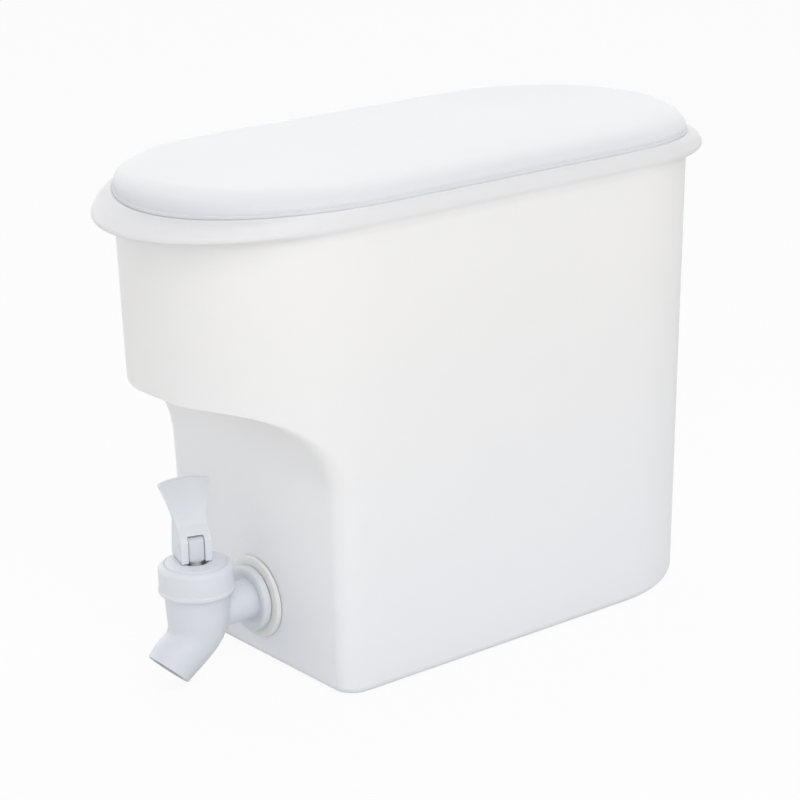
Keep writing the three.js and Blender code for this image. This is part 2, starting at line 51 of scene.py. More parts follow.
# Quadratic fillets: each inner corner P becomes (1-t)^2 A + 2t(1-t) P + t^2 B, where A and B lie
# its cut length away from P along the two legs, but never half a leg.
def roundedPath(points, cuts, steps=6):
    points = np.array(points, float)
    legs = np.diff(points, axis=0)
    lengths = np.maximum(np.linalg.norm(legs, axis=1), 1e-9)
    unit = legs / lengths[:, None]
    cut = np.minimum(np.broadcast_to(cuts, len(points) - 2), 0.49 * np.minimum(lengths[:-1], lengths[1:]))
    cut = cut[:, None, None]
    t = np.linspace(0, 1, steps)[None, :, None]
    corner = points[1:-1, None]
    start = corner - unit[:-1, None] * cut
    end = corner + unit[1:, None] * cut
    arcs = (1 - t) ** 2 * start + 2 * t * (1 - t) * corner + t**2 * end
    return np.concatenate([points[:1], arcs.reshape(-1, points.shape[1]), points[-1:]])


# Arc points r (cos t, sin t) for t from one angle to another, in degrees.
def arc(radius, fromDegrees, toDegrees, steps):
    t = np.radians(np.linspace(fromDegrees, toDegrees, steps))
    return radius * np.cos(t), radius * np.sin(t)


# A skin over rings (n, m, 3): quads between neighbours. The rings either wrap round on themselves
# or are closed by a pole at the middle of the first and last ring.
def skin(rings, wrap=False):
    n, m = rings.shape[:2]
    i = np.arange(n if wrap else n - 1)[:, None]
    j = np.arange(m)[None, :]
    nextI, nextJ = (i + 1) % n, (j + 1) % m
    quads = np.stack([i * m + j, i * m + nextJ, nextI * m + nextJ, nextI * m + j], -1).reshape(-1, 4)
    points = rings.reshape(-1, 3)
    if wrap:
        return points, [quads]
    poles = np.array([rings[0].mean(0), rings[-1].mean(0)])
    around = np.arange(m)
    after = (around + 1) % m
    first = np.stack([np.full(m, n * m), after, around], -1)
    last = np.stack([np.full(m, n * m + 1), (n - 1) * m + around, (n - 1) * m + after], -1)
    return np.concatenate([points, poles]), [quads, first, last]


# One mesh from several skins, with doubles merged and all faces turned outwards.
def meshPiece(name, skins, smoothDegrees=38):
    points, faces, offset = [], [], 0
    for skinPoints, skinFaces in skins:
        points.append(skinPoints)
        faces += [f + offset for f in skinFaces]
        offset += len(skinPoints)
    mesh = bpy.data.meshes.new(name)
    co = np.concatenate(points) * toMetres
    mesh.vertices.add(len(co))
    mesh.vertices.foreach_set("co", co.ravel().astype(np.float32))
    loops = np.concatenate([f.ravel() for f in faces])
    sizes = np.concatenate([np.full(len(f), f.shape[1]) for f in faces])
    mesh.loops.add(len(loops))
    mesh.loops.foreach_set("vertex_index", loops.astype(np.int32))
    mesh.polygons.add(len(sizes))
    mesh.polygons.foreach_set("loop_start", (np.cumsum(sizes) - sizes).astype(np.int32))
    mesh.update(calc_edges=True)
    tidy = bmesh.new()
    tidy.from_mesh(mesh)
    bmesh.ops.remove_doubles(tidy, verts=tidy.verts, dist=mergeDistance)
    bmesh.ops.dissolve_degenerate(tidy, edges=tidy.edges, dist=sliverLength)
    bmesh.ops.recalc_face_normals(tidy, faces=tidy.faces)
    tidy.to_mesh(mesh)
    tidy.free()
    piece = bpy.data.objects.new(name, mesh)
    bpy.context.scene.collection.objects.link(piece)
    shadeSmooth(piece, smoothDegrees)
    return piece


def shadeSmooth(piece, smoothDegrees):
    mesh = piece.data
    mesh.polygons.foreach_set("use_smooth", np.ones(len(mesh.polygons), bool))
    mesh.set_sharp_from_angle(angle=math.radians(smoothDegrees))


# Gives the piece the shape that its modifiers make.
def bake(piece, smoothDegrees=38):
    bpy.context.view_layer.update()
    shaped = bpy.data.meshes.new_from_object(piece.evaluated_get(bpy.context.evaluated_depsgraph_get()))
    old = piece.data
    piece.modifiers.clear()
    piece.data = shaped
    bpy.data.meshes.remove(old)
    shadeSmooth(piece, smoothDegrees)


def cutAway(piece, cutter):
    cut = piece.modifiers.new("cut", "BOOLEAN")
    cut.operation, cut.object, cut.solver = "DIFFERENCE", cutter, "EXACT"
    bake(piece)
    bpy.data.objects.remove(cutter)


# A profile of (radius, along) turned about an axis: x or y or z is the axis, and the ring at angle
# v is radius cos v and radius sin v across it.
def turned(profile, axis, centre, columns=96):
    profile = np.array(profile, float)
    v = np.linspace(0, 2 * np.pi, columns, endpoint=False)
    radius, along = profile[:, :1], profile[:, 1:2]
    across, up = radius * np.cos(v), radius * np.sin(v)
    along = np.broadcast_to(along, across.shape)
    order = {"x": (along, across, up), "y": (across, along, up), "z": (across, up, along)}[axis]
    return np.stack(order, -1) + np.array(centre)


def finish(piece, body, slot, material, *nodes):
    piece.data.materials.clear()
    piece.data.materials.append(material)
    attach(piece, body)
    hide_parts(*nodes)
    print(piece.name, len(piece.data.polygons), "faces")
    return piece


# Points along each stretch of half the outline: front chord, front corner, front end, side, rear end.
planSteps = {"chord": 26, "corner": 14, "front": 60, "side": 18, "rear": 60}
# The place of the front cut where there is none: well beyond every outline.
noCut = -999.0


# Ovals with round ends, one for each row of the tables. An end is half an ellipse, a wide and b
# long, about (0, -c) or (0, c). The front may be cut straight at y = cut, with corners of radius
# corner; its points keep their angles, and those that the cut takes away gather where it starts.
# The height runs from zSide to zTip with ((|y| - start) / reach)^2 towards the ends, where start
# and reach are the two values of end, or else c and b.
def ovals(a, b, c, cut, corner, zSide, zTip, end=None):
    a, b, c, cut, corner, zSide, zTip = [np.atleast_1d(np.asarray(t, float))[:, None] for t in
                                         np.broadcast_arrays(a, b, c, cut, corner, zSide, zTip)]
    cut = np.maximum(cut, -(c + b))
    corner = np.minimum(corner, a * 0.98)
    cornerY = cut + corner
    startY = np.maximum(-c, cornerY)
    tangent = np.arcsin(np.clip((cornerY - startY) / (b - corner), -1, 0))
    cornerX = (a - corner) * np.cos(tangent)
    share = {k: np.arange(n)[None, :] / n for k, n in planSteps.items()}
    turn = lerp(-np.pi / 2, tangent, share["corner"])
    sweep = np.maximum(lerp(-np.pi / 2, 0, share["front"]), tangent)
    rear = np.linspace(0, np.pi / 2, planSteps["rear"] + 1)[None, :]
    x = [cornerX * share["chord"], cornerX + corner * np.cos(turn), a * np.cos(sweep),
         a + 0 * share["side"], a * np.cos(rear)]
    y = [cut + 0 * share["chord"], cornerY + corner * np.sin(turn), startY + b * np.sin(sweep),
         lerp(startY, c, share["side"]), c + b * np.sin(rear)]
    x, y = np.concatenate(x, 1), np.concatenate(y, 1)
    x = np.concatenate([x, -x[:, -2:0:-1]], 1)
    y = np.concatenate([y, y[:, -2:0:-1]], 1)
    start, reach = end or (c, b)
    beyond = np.clip((np.abs(y) - start) / reach, 0, 1) ** 2
    return np.stack([x, y, lerp(zSide, zTip, beyond)], -1)


colourSocket, numberSocket = "NodeSocketColor", "NodeSocketFloat"


# A node group. An input whose first value is a tuple is a colour, and the others are numbers.
def newGroup(name, inputs, outputs):
    group = bpy.data.node_groups.new(name, "ShaderNodeTree")
    for label, value in inputs.items():
        kind = colourSocket if isinstance(value, tuple) else numberSocket
        socket = group.interface.new_socket(name=label, in_out="INPUT", socket_type=kind)
        socket.default_value = value
    for label, kind in outputs.items():
        group.interface.new_socket(name=label, in_out="OUTPUT", socket_type=kind)
    return group, group.nodes.new("NodeGroupInput"), group.nodes.new("NodeGroupOutput")


def addNode(tree, kind, **settings):
    node = tree.nodes.new(kind)
    for key, value in settings.items():
        setattr(node, key, value)
    return node


def addMath(tree, operation, first, second):
    node = addNode(tree, "ShaderNodeMath", operation=operation)
    for socket, value in zip(node.inputs, (first, second)):
        if isinstance(value, (int, float)):
            socket.default_value = value
        else:
            tree.links.new(value, socket)
    return node.outputs[0]


def mixColour(tree, share, first, second, blend="MIX"):
    node = addNode(tree, "ShaderNodeMix", data_type="RGBA", blend_type=blend)
    for socket, value in zip((node.inputs[0], node.inputs[6], node.inputs[7]), (share, first, second)):
        if isinstance(value, (int, float, tuple)):
            socket.default_value = value
        else:
            tree.links.new(value, socket)
    return node.outputs[2]


def objectPlace(tree):
    return addNode(tree, "ShaderNodeTexCoord").outputs["Object"]


def addNoise(tree, place, scale, detail):
    noise = addNode(tree, "ShaderNodeTexNoise")
    noise.inputs["Detail"].default_value = detail
    tree.links.new(place, noise.inputs["Vector"])
    tree.links.new(scale, noise.inputs["Scale"])
    return noise.outputs["Fac"]


# Moulded plastic: a slow cloud of two close tints from the resin's flow, a fine mould grain as
# height, and a roughness that wanders with both.
def buildMouldedSkin():
    group, given, out = newGroup(
        "mouldedSkin",
        {"Tint": (0.8, 0.8, 0.8, 1), "Other Tint": (0.7, 0.7, 0.7, 1), "Cloud Scale": 30, "Grain Scale": 900,
         "Roughness": 0.4, "Roughness Spread": 0.1},
        {"Colour": colourSocket, "Roughness": numberSocket, "Height": numberSocket})
    place = objectPlace(group)
    cloud = addNoise(group, place, given.outputs["Cloud Scale"], 3)
    grain = addNoise(group, place, given.outputs["Grain Scale"], 2)
    tint = mixColour(group, cloud, given.outputs["Tint"], given.outputs["Other Tint"])
    swing = addMath(group, "SUBTRACT", addMath(group, "ADD", cloud, grain), 1)
    spread = addMath(group, "MULTIPLY", swing, given.outputs["Roughness Spread"])
    group.links.new(tint, out.inputs["Colour"])
    group.links.new(addMath(group, "ADD", given.outputs["Roughness"], spread), out.inputs["Roughness"])
    group.links.new(grain, out.inputs["Height"])
    return group


# Painted light and shade by height: a tint that runs from one colour to another between two heights
# of the object, lighter or darker where light or shade falls. Both heights are lower towards the
# ends, by End Drop times ((|y| - End Start) / End Length)^2.
def buildPaintedShadeByHeight():
    group, given, out = newGroup(
        "paintedShadeByHeight",
        {"Low Colour": (0.7, 0.7, 0.7, 1), "High Colour": (0.8, 0.8, 0.8, 1), "Low Height": 0,
         "High Height": 0.18, "End Drop": 0, "End Start": 0.0617, "End Length": 0.06},
        {"Colour": colourSocket})
    split = addNode(group, "ShaderNodeSeparateXYZ")
    group.links.new(objectPlace(group), split.inputs[0])
    along = addMath(group, "ABSOLUTE", split.outputs["Y"], 0)
    beyond = addMath(group, "MAXIMUM", addMath(group, "SUBTRACT", along, given.outputs["End Start"]), 0)
    share = addMath(group, "DIVIDE", beyond, given.outputs["End Length"])
    drop = addMath(group, "MULTIPLY", addMath(group, "MULTIPLY", share, share), given.outputs["End Drop"])
    ramp = addNode(group, "ShaderNodeMapRange", interpolation_type="SMOOTHSTEP")
    group.links.new(addMath(group, "ADD", split.outputs["Z"], drop), ramp.inputs["Value"])
    group.links.new(given.outputs["Low Height"], ramp.inputs["From Min"])
    group.links.new(given.outputs["High Height"], ramp.inputs["From Max"])
    tint = mixColour(group, ramp.outputs[0], given.outputs["Low Colour"], given.outputs["High Colour"])
    group.links.new(tint, out.inputs["Colour"])
    return group


# Fine rubbing marks: noise that is stretched along one slanting way, its peaks cut out as thin lines.
def buildRubMarks():
    slant, lineStart, lineEnd = (0.5, 0.35, 0.6), 0.6, 0.72
    group, given, out = newGroup(
        "rubMarks", {"Scale": 60, "Stretch": 14, "Amount": 0.5}, {"Mask": numberSocket})
    turn = addNode(group, "ShaderNodeMapping")
    turn.inputs["Rotation"].default_value = slant
    group.links.new(objectPlace(group), turn.inputs["Vector"])
    stretch = addNode(group, "ShaderNodeCombineXYZ")
    stretch.inputs["Y"].default_value = 1
    for axis in "XZ":
        group.links.new(given.outputs["Stretch"], stretch.inputs[axis])
    scaled = addNode(group, "ShaderNodeVectorMath", operation="MULTIPLY")
    group.links.new(turn.outputs[0], scaled.inputs[0])
    group.links.new(stretch.outputs[0], scaled.inputs[1])
    lines = addNode(group, "ShaderNodeMapRange", interpolation_type="SMOOTHSTEP")
    lines.inputs["From Min"].default_value = lineStart
    lines.inputs["From Max"].default_value = lineEnd
    group.links.new(addNoise(group, scaled.outputs[0], given.outputs["Scale"], 4), lines.inputs["Value"])
    mask = addMath(group, "MULTIPLY", lines.outputs[0], given.outputs["Amount"])
    group.links.new(mask, out.inputs["Mask"])
    return group


mouldedSkin, paintedShadeByHeight, rubMarks = buildMouldedSkin(), buildPaintedShadeByHeight(), buildRubMarks()


def groupNode(tree, group, **values):
    node = addNode(tree, "ShaderNodeGroup", node_tree=group)
    for label, value in values.items():
        socket = node.inputs[label.replace("_", " ")]
        if hasattr(value, "is_linked"):
            tree.links.new(value, socket)
        else:
            socket.default_value = value
    return node


# What a full rub mark adds to the roughness, and the depth of the bump in metres.
markRoughness, bumpDistance = 0.12, 0.0001


# One finish: the skin's two tints, times each painted light and shade by height (low and high tint,
# low and high height, drop at the ends), rub marks in the roughness, and grain and marks in the bump.
def plasticFinish(name, look):
    material = bpy.data.materials.new(name)
    material.use_nodes = True
    tree = material.node_tree
    shader = tree.nodes["Principled BSDF"]
    skinNode = groupNode(tree, mouldedSkin, Tint=look["tint"], Other_Tint=look["otherTint"],
                         Cloud_Scale=look["cloudScale"], Grain_Scale=look["grainScale"],
                         Roughness=look["roughness"], Roughness_Spread=look["roughnessSpread"])
    marks = groupNode(tree, rubMarks, Scale=look["markScale"], Amount=look["marks"])
    colour = skinNode.outputs["Colour"]
    for lowShadeTint, highShadeTint, lowHeight, highHeight, endDrop in look["paintedShadesByHeight"]:
        tint = groupNode(tree, paintedShadeByHeight, Low_Colour=lowShadeTint, High_Colour=highShadeTint,
                         Low_Height=lowHeight, High_Height=highHeight, End_Drop=endDrop)
        colour = mixColour(tree, 1.0, colour, tint.outputs["Colour"], "MULTIPLY")
    tree.links.new(colour, shader.inputs["Base Color"])
    rough = addMath(tree, "MULTIPLY", marks.outputs["Mask"], markRoughness)
    rough = addMath(tree, "ADD", skinNode.outputs["Roughness"], rough)
    tree.links.new(rough, shader.inputs["Roughness"])
    height = addMath(tree, "SUBTRACT", skinNode.outputs["Height"], marks.outputs["Mask"])
    bump = addNode(tree, "ShaderNodeBump")
    bump.inputs["Strength"].default_value = look["bump"]
    bump.inputs["Distance"].default_value = bumpDistance
    tree.links.new(height, bump.inputs["Height"])
    tree.links.new(bump.outputs[0], shader.inputs["Normal"])
    for socket, value in look["shader"].items():
        shader.inputs[socket].default_value = value
    return material


# A colour of 0-255 as a picture holds it, made linear.
def grey(r, g, b):
    return tuple(((c / 255 + 0.055) / 1.055) ** 2.4 if c > 10 else c / 255 / 12.92 for c in (r, g, b)) + (1,)


# Each look has its tints, the noise scales for each metre, and its painted light and shade by height:
# low and high tint, low and high height in metres, and the heights' drop at the ends.
looks = {
    "frostedPlastic": {
        "tint": grey(250, 250, 250), "otherTint": grey(246, 246, 247), "cloudScale": 9, "grainScale": 1400,
        # Painted light and shade: the wall runs from a cool tone at the floor to a warmer one at 140 mm, and
        # painted shade darkens the rim band from 173 mm up, lower towards the ears.
        "paintedShadesByHeight": [(grey(243, 245, 248), grey(243, 242, 241), 0.0, 0.14, 0),
                        (grey(255, 255, 255), grey(244, 245, 247), 0.173, 0.1752, 0.0042)],
        "roughness": 0.5, "roughnessSpread": 0.12, "marks": 0.25, "markScale": 30, "bump": 0.25,
        "shader": {"Subsurface Weight": 0.12, "Subsurface Radius": (1, 1, 1), "Subsurface Scale": 0.002,
                   "IOR": 1.49, "Specular IOR Level": 0.35},
    },
    "lidPlastic": {
        "tint": grey(239, 240, 242), "otherTint": grey(234, 235, 238), "cloudScale": 12, "grainScale": 1200,
        # Painted light: the crown above 189 mm is lighter and the shoulders below 182 mm darker, as light
        # from above falls on them.
        "paintedShadesByHeight": [(grey(234, 235, 237), grey(255, 255, 255), 0.182, 0.189, 0)],
        "roughness": 0.48, "roughnessSpread": 0.1, "marks": 0.35, "markScale": 26, "bump": 0.18,
        "shader": {"Subsurface Weight": 0.15, "Subsurface Radius": (1, 1, 1), "Subsurface Scale": 0.002,
                   "IOR": 1.49, "Specular IOR Level": 0.3},
    },
    "tapPlastic": {
        "tint": grey(226, 229, 233), "otherTint": grey(222, 225, 230), "cloudScale": 60, "grainScale": 2600,
        # Painted shade: the tap plastic is darker and cooler towards the bottom.
        "paintedShadesByHeight": [(grey(245, 247, 249), grey(252, 252, 253), 0.0, 0.06, 0)],
        "roughness": 0.38, "roughnessSpread": 0.08, "marks": 0.2, "markScale": 120, "bump": 0.1,
        "shader": {"Subsurface Weight": 0.1, "Subsurface Radius": (1, 1, 1), "Subsurface Scale": 0.001,
                   "IOR": 1.5, "Specular IOR Level": 0.4},
    },
    "siliconeRubber": {
        "tint": grey(236, 237, 235), "otherTint": grey(231, 232, 229), "cloudScale": 80, "grainScale": 3200,
        # Painted shade: the silicone parts are a little darker towards the bottom.
        "paintedShadesByHeight": [(grey(250, 250, 250), grey(254, 254, 254), 0.0, 0.06, 0)],
        "roughness": 0.5, "roughnessSpread": 0.1, "marks": 0.1, "markScale": 150, "bump": 0.2,
        "shader": {"Subsurface Weight": 0.2, "Subsurface Radius": (1, 1, 0.95), "Subsurface Scale": 0.001,
                   "IOR": 1.41, "Specular IOR Level": 0.4},
    },
}
# Painted shade: a darker copy of the tap plastic for the stem, whose head sits in the shade of the lever's
# slot.
looks["stemPlastic"] = dict(looks["tapPlastic"], tint=grey(218, 221, 225), otherTint=grey(214, 217, 222))
finishes = {name: plasticFinish(name, look) for name, look in looks.items()}
print("materials made")

tub = {
    "height": 178.4, "halfWidth": 58.1, "endSpacing": 123.4, "draftDegrees": 1.33,
    "wall": 1.8, "floor": 2.2, "footRound": 3.6, "innerFootRound": 2.4,
    "recessDepth": 39.5, "recessCeiling": 110.6, "lipRound": 2.0, "innerLipRound": 0.7, "cornerRound": 7.3,
    "ledgeDepth": 6.4, "ledgeStep": 1.5, "rimDrop": 9, "holeRadius": 7.75, "holeReach": 6,
    # The rim's profile, out and up, from its foot over the ear and the top to the ledge. First on
    # the sides, where it is arched up,
    "rimSide": [(-0.19, -8), (0.1, -6.2), (0.45, -5), (0.8, -4.1), (1.1, -3.4), (1.3, -2.6), (1.35, -1.8),
                (1.3, 1.6), (1.5, 2.95), (1.15, 3.4), (0, 3.4), (-0.3, 3.28), (-0.3, -6.4)],
    # then at the tips, where it runs out into the ears.
    "rimTip": [(-0.21, -9), (0.9, -4.2), (2.1, -3.6), (8.95, -7.45), (10.2, -6.82), (10.2, -5.45),
               (9.5, -4.1), (6.4, -1.6), (1.5, -0.35), (0.9, 0), (0, 0), (-0.3, -0.12), (-0.3, -6.4)],
    "rimCuts": [1.2, 1.2, 0.5, 0.7, 0.4, 1.5, 2.6, 0.5, 0.35, 0.3, 0.35],
}
tapAxisHeight = 24.5


# The draft narrows the tub downwards by tan(draft) for each millimetre.
def tubHalfWidth(z):
    return tub["halfWidth"] - (tub["height"] - z) * math.tan(math.radians(tub["draftDegrees"]))


# The y of the recess's wall at height z: the front's, less the recess's depth.
def recessWall(z):
    return -(tub["endSpacing"] / 2 + tubHalfWidth(z) - tub["recessDepth"])


# Level rings of the tub's skin: rows of half-width, tip reach, cut, corner, and the height on the
# sides and at the tips.
def levelRings(z, inset, cut, setIn=0.0):
    z = np.atleast_1d(np.asarray(z, float))
    width = tubHalfWidth(z) - inset - setIn
    corner = np.full(len(z), max(tub["cornerRound"] - inset, tub["wall"]))
    return np.stack([width, width, np.broadcast_to(cut, len(z)), corner, z, z], -1)


# From the foot's quarter circle up the wall of the recess, over the quarter circle of its ceiling
# and out round its lip.
def recessRings(inset, footRound, floor, wallSteps, arcSteps, lipSteps):
    across, up = arc(footRound, -90, 0, 8)
    footZ = floor + footRound + up
    setIn = footRound - across
    foot = levelRings(footZ, inset, recessWall(footZ) + inset + setIn, setIn)
    radius = tub["recessDepth"] - tub["lipRound"]
    arcZ = tub["recessCeiling"] - radius
    arcY = recessWall(arcZ) - radius
    wallZ = np.linspace(floor + footRound, arcZ, wallSteps + 2)[1:-1]
    wall = levelRings(wallZ, inset, recessWall(wallZ) + inset)
    y, z = arc(radius + inset, 0, 90, arcSteps)
    over = levelRings(arcZ + z, inset, arcY + y)
    lipZ = tub["recessCeiling"] + tub["lipRound"]
    lipY = -(tub["endSpacing"] / 2 + tubHalfWidth(lipZ)) + tub["lipRound"]
    y, z = arc(max(tub["lipRound"] - inset, tub["innerLipRound"]), -90, -180, lipSteps)
    lip = levelRings(lipZ + z, inset, lipY + y)
    return np.concatenate([foot, wall, over, lip[1:]])


# The tub's skin goes up its outside, over the rim and down its inside to the floor.
def makeTub():
    outside = recessRings(0, tub["footRound"], 0, wallSteps=3, arcSteps=26, lipSteps=12)
    lipTop = outside[-1][4]
    wallZ = np.linspace(lipTop, tub["height"] - tub["rimDrop"], 6)[1:-1]
    frontWall = levelRings(wallZ, 0, noCut)
    side = roundedPath(tub["rimSide"], tub["rimCuts"])
    tip = roundedPath(tub["rimTip"], tub["rimCuts"])
    rim = np.stack([tub["halfWidth"] + side[:, 0], tub["halfWidth"] + tip[:, 0], np.full(len(side), noCut),
                    np.full(len(side), tub["cornerRound"]), tub["height"] + side[:, 1],
                    tub["height"] + tip[:, 1]], -1)
    ledge = levelRings(tub["height"] - tub["ledgeDepth"] - tub["ledgeStep"], tub["wall"], noCut)
    inside = recessRings(tub["wall"], tub["innerFootRound"], tub["floor"],
                         wallSteps=2, arcSteps=20, lipSteps=6)
    rows = np.concatenate([outside, frontWall, rim, ledge, inside[::-1]])
    a, b, cut, corner, zSide, zTip = rows.T
    piece = meshPiece("tubShell", [skin(ovals(a, b, tub["endSpacing"] / 2, cut, corner, zSide, zTip))])
    wallY, reach, radius = recessWall(tapAxisHeight), tub["holeReach"], tub["holeRadius"]
    hole = turned([(radius, wallY - reach), (radius, wallY + reach)], "y", (0, 0, tapAxisHeight))
    cutAway(piece, meshPiece("holeCutter", [skin(hole)]))
    return finish(piece, "jug", "frosted_plastic", finishes["frostedPlastic"], "tub")


makeTub()

lid = {
    "side": 60.0, "centre": 59.35, "plugCentre": 61.7, "seat": 178.7, "height": 9.5, "crown": 0.88,
    "wall": 2.0, "edgeRound": 7.8, "sideRound": 13.0, "sideIn": 0.8, "arch": 3.4, "archEnd": (61.7, 58.3),
    "lipReach": 0.4, "lipHeight": 1.0, "lipFoot": 178.45, "lipStep": 0.25,
    "plug": 57.3, "plugFoot": 172.6, "plugWall": 1.8,
}


# The lid's skin goes from the middle of its hollow down the plug, out round the lip and over the
# shoulder to the middle of the crown. On the sides it is narrower by sideIn, and its lip is arched
# up. The shoulder is a quarter circle at the tips and a flatter quarter ellipse on the sides. The
# crown rises by crown (1 - s^2) at share s of its width.
def makeLid():
    side, centre, plugCentre, arch = lid["side"], lid["centre"], lid["plugCentre"], lid["arch"]
    top, lipTop, lip = lid["seat"] + lid["height"], lid["seat"] + lid["lipHeight"], side + lid["lipReach"]
    lipEnd, lipFoot, plug, plugFoot = lipTop + lid["lipStep"], lid["lipFoot"], lid["plug"], lid["plugFoot"]
    ceiling, hollowRound = top - lid["wall"], lid["edgeRound"] - lid["wall"]
    hollow = plug - lid["plugWall"]
    shares = np.linspace(0.04, 1, 7)
    # Rows of reach at the tips, centre, height at the tips and rise on the sides.
    roof = [(hollow - hollowRound) * shares, plugCentre * shares, ceiling + 0 * shares, 0 * shares]
    out, up = arc(hollowRound, 90, 0, 9)
    bend = [hollow - hollowRound + out, plugCentre + 0 * out, ceiling - hollowRound + up, 0 * out]
    skirt = roundedPath([
        (hollow, plugCentre, ceiling - hollowRound - 1, 0), (hollow, plugCentre, plugFoot, 0),
        (plug, plugCentre, plugFoot, 0), (plug, plugCentre, lipFoot, arch), (lip, centre, lipFoot, arch),
        (lip, centre, lipTop, arch), (side, centre, lipTop, arch), (side, centre, lipEnd, arch)],
        [0.5, 0.6, 0.4, 0.15, 0.35, 0.2])
    reach, along, zTip, rise = np.concatenate([roof, bend, skirt.T], 1)
    # Rows of reach on the sides and at the tips, centre, and height on the sides and at the tips.
    under = [reach - lid["sideIn"], reach, along, zTip + rise, zTip]
    cos, sin = arc(1, 0, 90, 24)
    endRound, sideRound = lid["edgeRound"], lid["sideRound"]
    sideReach, sideEnd = side - lid["sideIn"], lipEnd + arch
    shoulder = [sideReach - sideRound * (1 - cos), side - endRound * (1 - cos), centre + 0 * cos,
                sideEnd + (top - sideEnd) * sin, top - endRound + endRound * sin]
    shares = np.linspace(1, 0.03, 14)[1:]
    crownZ = top + lid["crown"] * (1 - shares**2)
    crown = [(sideReach - sideRound) * shares, (side - endRound) * shares, centre * shares, crownZ, crownZ]
    a, b, c, zSide, zTip = np.concatenate([under, shoulder, crown], 1)
    piece = meshPiece("lidShell", [skin(ovals(a, b, c, noCut, a / 2, zSide, zTip, lid["archEnd"]))])
    return finish(piece, "lid", "lid_plastic", finishes["lidPlastic"], "lid")


makeLid()

tap = {
    "reach": 26.8, "barrelRadius": 11.2, "barrelFlare": 0.8, "barrelWall": 1.8, "neckTop": 16.0,
    "underCap": 9.1, "bendStart": -2.4, "bendHandle": 7.4, "mouthHandle": 8.8, "mouthRadius": 8.6,
    "mouthY": -14.0, "mouthDegrees": 44, "mouthClearance": 0.4, "mouthRound": 0.3, "mouthWall": 0.8,
    "spoutWall": 1.5, "boreShares": (0.96, 0.42), "seatDrop": 4.6, "portRadius": 4.4, "portY": -2.2,
    "inletRadius": 7.4, "inletBore": 4.4, "boreEnd": 9.6, "rootFillet": 1.3, "rootDepth": 1.2,
    "pipeStart": 14.5, "flangeRadius": 12.4, "flangeWidth": 3.2, "flangeGroove": 1.3, "flangeCrest": 10.4,
    "flangeLean": 0.4, "flangeFace": 24.5, "threadStart": 27.2, "threadPitch": 1.6, "threadDepth": 0.55,
    "threadIn": 1.2, "threadOut": 1.0, "threadRest": 0.4, "tailEdge": 0.6, "tail": 41.5,
}
# Points round each ring of the tap's body and its washers.
tapColumns = 128
tapCentre = np.array([0, recessWall(tapAxisHeight) - tap["reach"], tapAxisHeight])


# Rings of radius r about (0, y, z), tipped forwards by tilt: (r cos v, r sin v cos tilt, -r sin v sin tilt).
def tippedRings(radius, y, z, tilt):
    v = np.linspace(0, 2 * np.pi, tapColumns, endpoint=False)[None, :]
    radius, y, z, tilt = [np.asarray(t, float)[:, None] for t in np.broadcast_arrays(radius, y, z, tilt)]
    return np.stack([radius * np.cos(v), y + radius * np.sin(v) * np.cos(tilt),
                     z - radius * np.sin(v) * np.sin(tilt)], -1)


# The spout's centre line is a cubic curve from the barrel's end, straight down, to the mouth, at
# the mouth's slant. The tilt eases in along it with t^2 (3 - 2 t), and the radius runs evenly.
def spoutLine(t):
    tilt = math.radians(tap["mouthDegrees"])
    mouthZ = -(tapAxisHeight - tap["mouthClearance"] - tap["mouthRadius"] * math.sin(tilt))
    handleY, handleZ = math.sin(tilt) * tap["mouthHandle"], math.cos(tilt) * tap["mouthHandle"]
    points = np.array([(0, tap["bendStart"]), (0, tap["bendStart"] - tap["bendHandle"]),
                       (tap["mouthY"] + handleY, mouthZ + handleZ), (tap["mouthY"], mouthZ)])
    t = np.asarray(t, float)
    weights = np.stack([(1 - t) ** 3, 3 * t * (1 - t) ** 2, 3 * t**2 * (1 - t), t**3], -1)
    y, z = (weights @ points).T
    return y, z, tilt * t * t * (3 - 2 * t), lerp(tap["barrelRadius"], tap["mouthRadius"], t)


# The barrel flares from its bend up to the cap: R = radius + flare (z - bend) / (underCap - bend).
def barrelRadiusAt(z):
    bend, under = tap["bendStart"], tap["underCap"]
    return tap["barrelRadius"] + tap["barrelFlare"] * (z - bend) / (under - bend)


# Barrel and spout: down the outside, round the mouth's half-round lip and back up the bore, through
# the port to the well.
def spoutRings():
    under, shoulder = tap["underCap"], tap["underCap"] - tap["barrelFlare"] / 2
    profile = roundedPath([(tap["barrelRadius"], tap["neckTop"]), (tap["barrelRadius"], under),
                           (barrelRadiusAt(shoulder), under), (barrelRadiusAt(shoulder), shoulder),
                           (tap["barrelRadius"], tap["bendStart"])], [0.1, 0.3, 0.1], 4)
    barrel = tippedRings(profile[:, 0], 0, profile[:, 1], 0)
    y, z, tilt, radius = spoutLine(np.linspace(0, 1, 34))
    back = tap["mouthRound"]
    ay, az = -math.sin(tilt[-1]), -math.cos(tilt[-1])
    outer = tippedRings(radius[1:-1], y[1:-1], z[1:-1], tilt[1:-1])
    turn = np.radians(np.linspace(0, 180, 12))
    half = tap["mouthWall"] / 2
    lipRadius = tap["mouthRadius"] - half + half * np.cos(turn)
    lipOut = -back + back * np.sin(turn)
    lip = tippedRings(lipRadius, y[-1] + ay * lipOut, z[-1] + az * lipOut, tilt[-1] + 0 * turn)
    t = np.linspace(*tap["boreShares"], 14)
    y, z, tilt, radius = spoutLine(t)
    bore = tippedRings(radius - lerp(tap["spoutWall"], tap["mouthWall"], t), y, z, tilt)
    port = tippedRings([tap["portRadius"]] * 2, [tap["portY"], 0], [z[-1], -tap["seatDrop"]], [tilt[-1], 0])
    cup = tap["barrelRadius"] - tap["barrelWall"]
    well = tippedRings([cup, cup], [0, 0], [-tap["seatDrop"], tap["neckTop"]], [0, 0])
    return np.concatenate([barrel, outer, lip, bore, port, well])


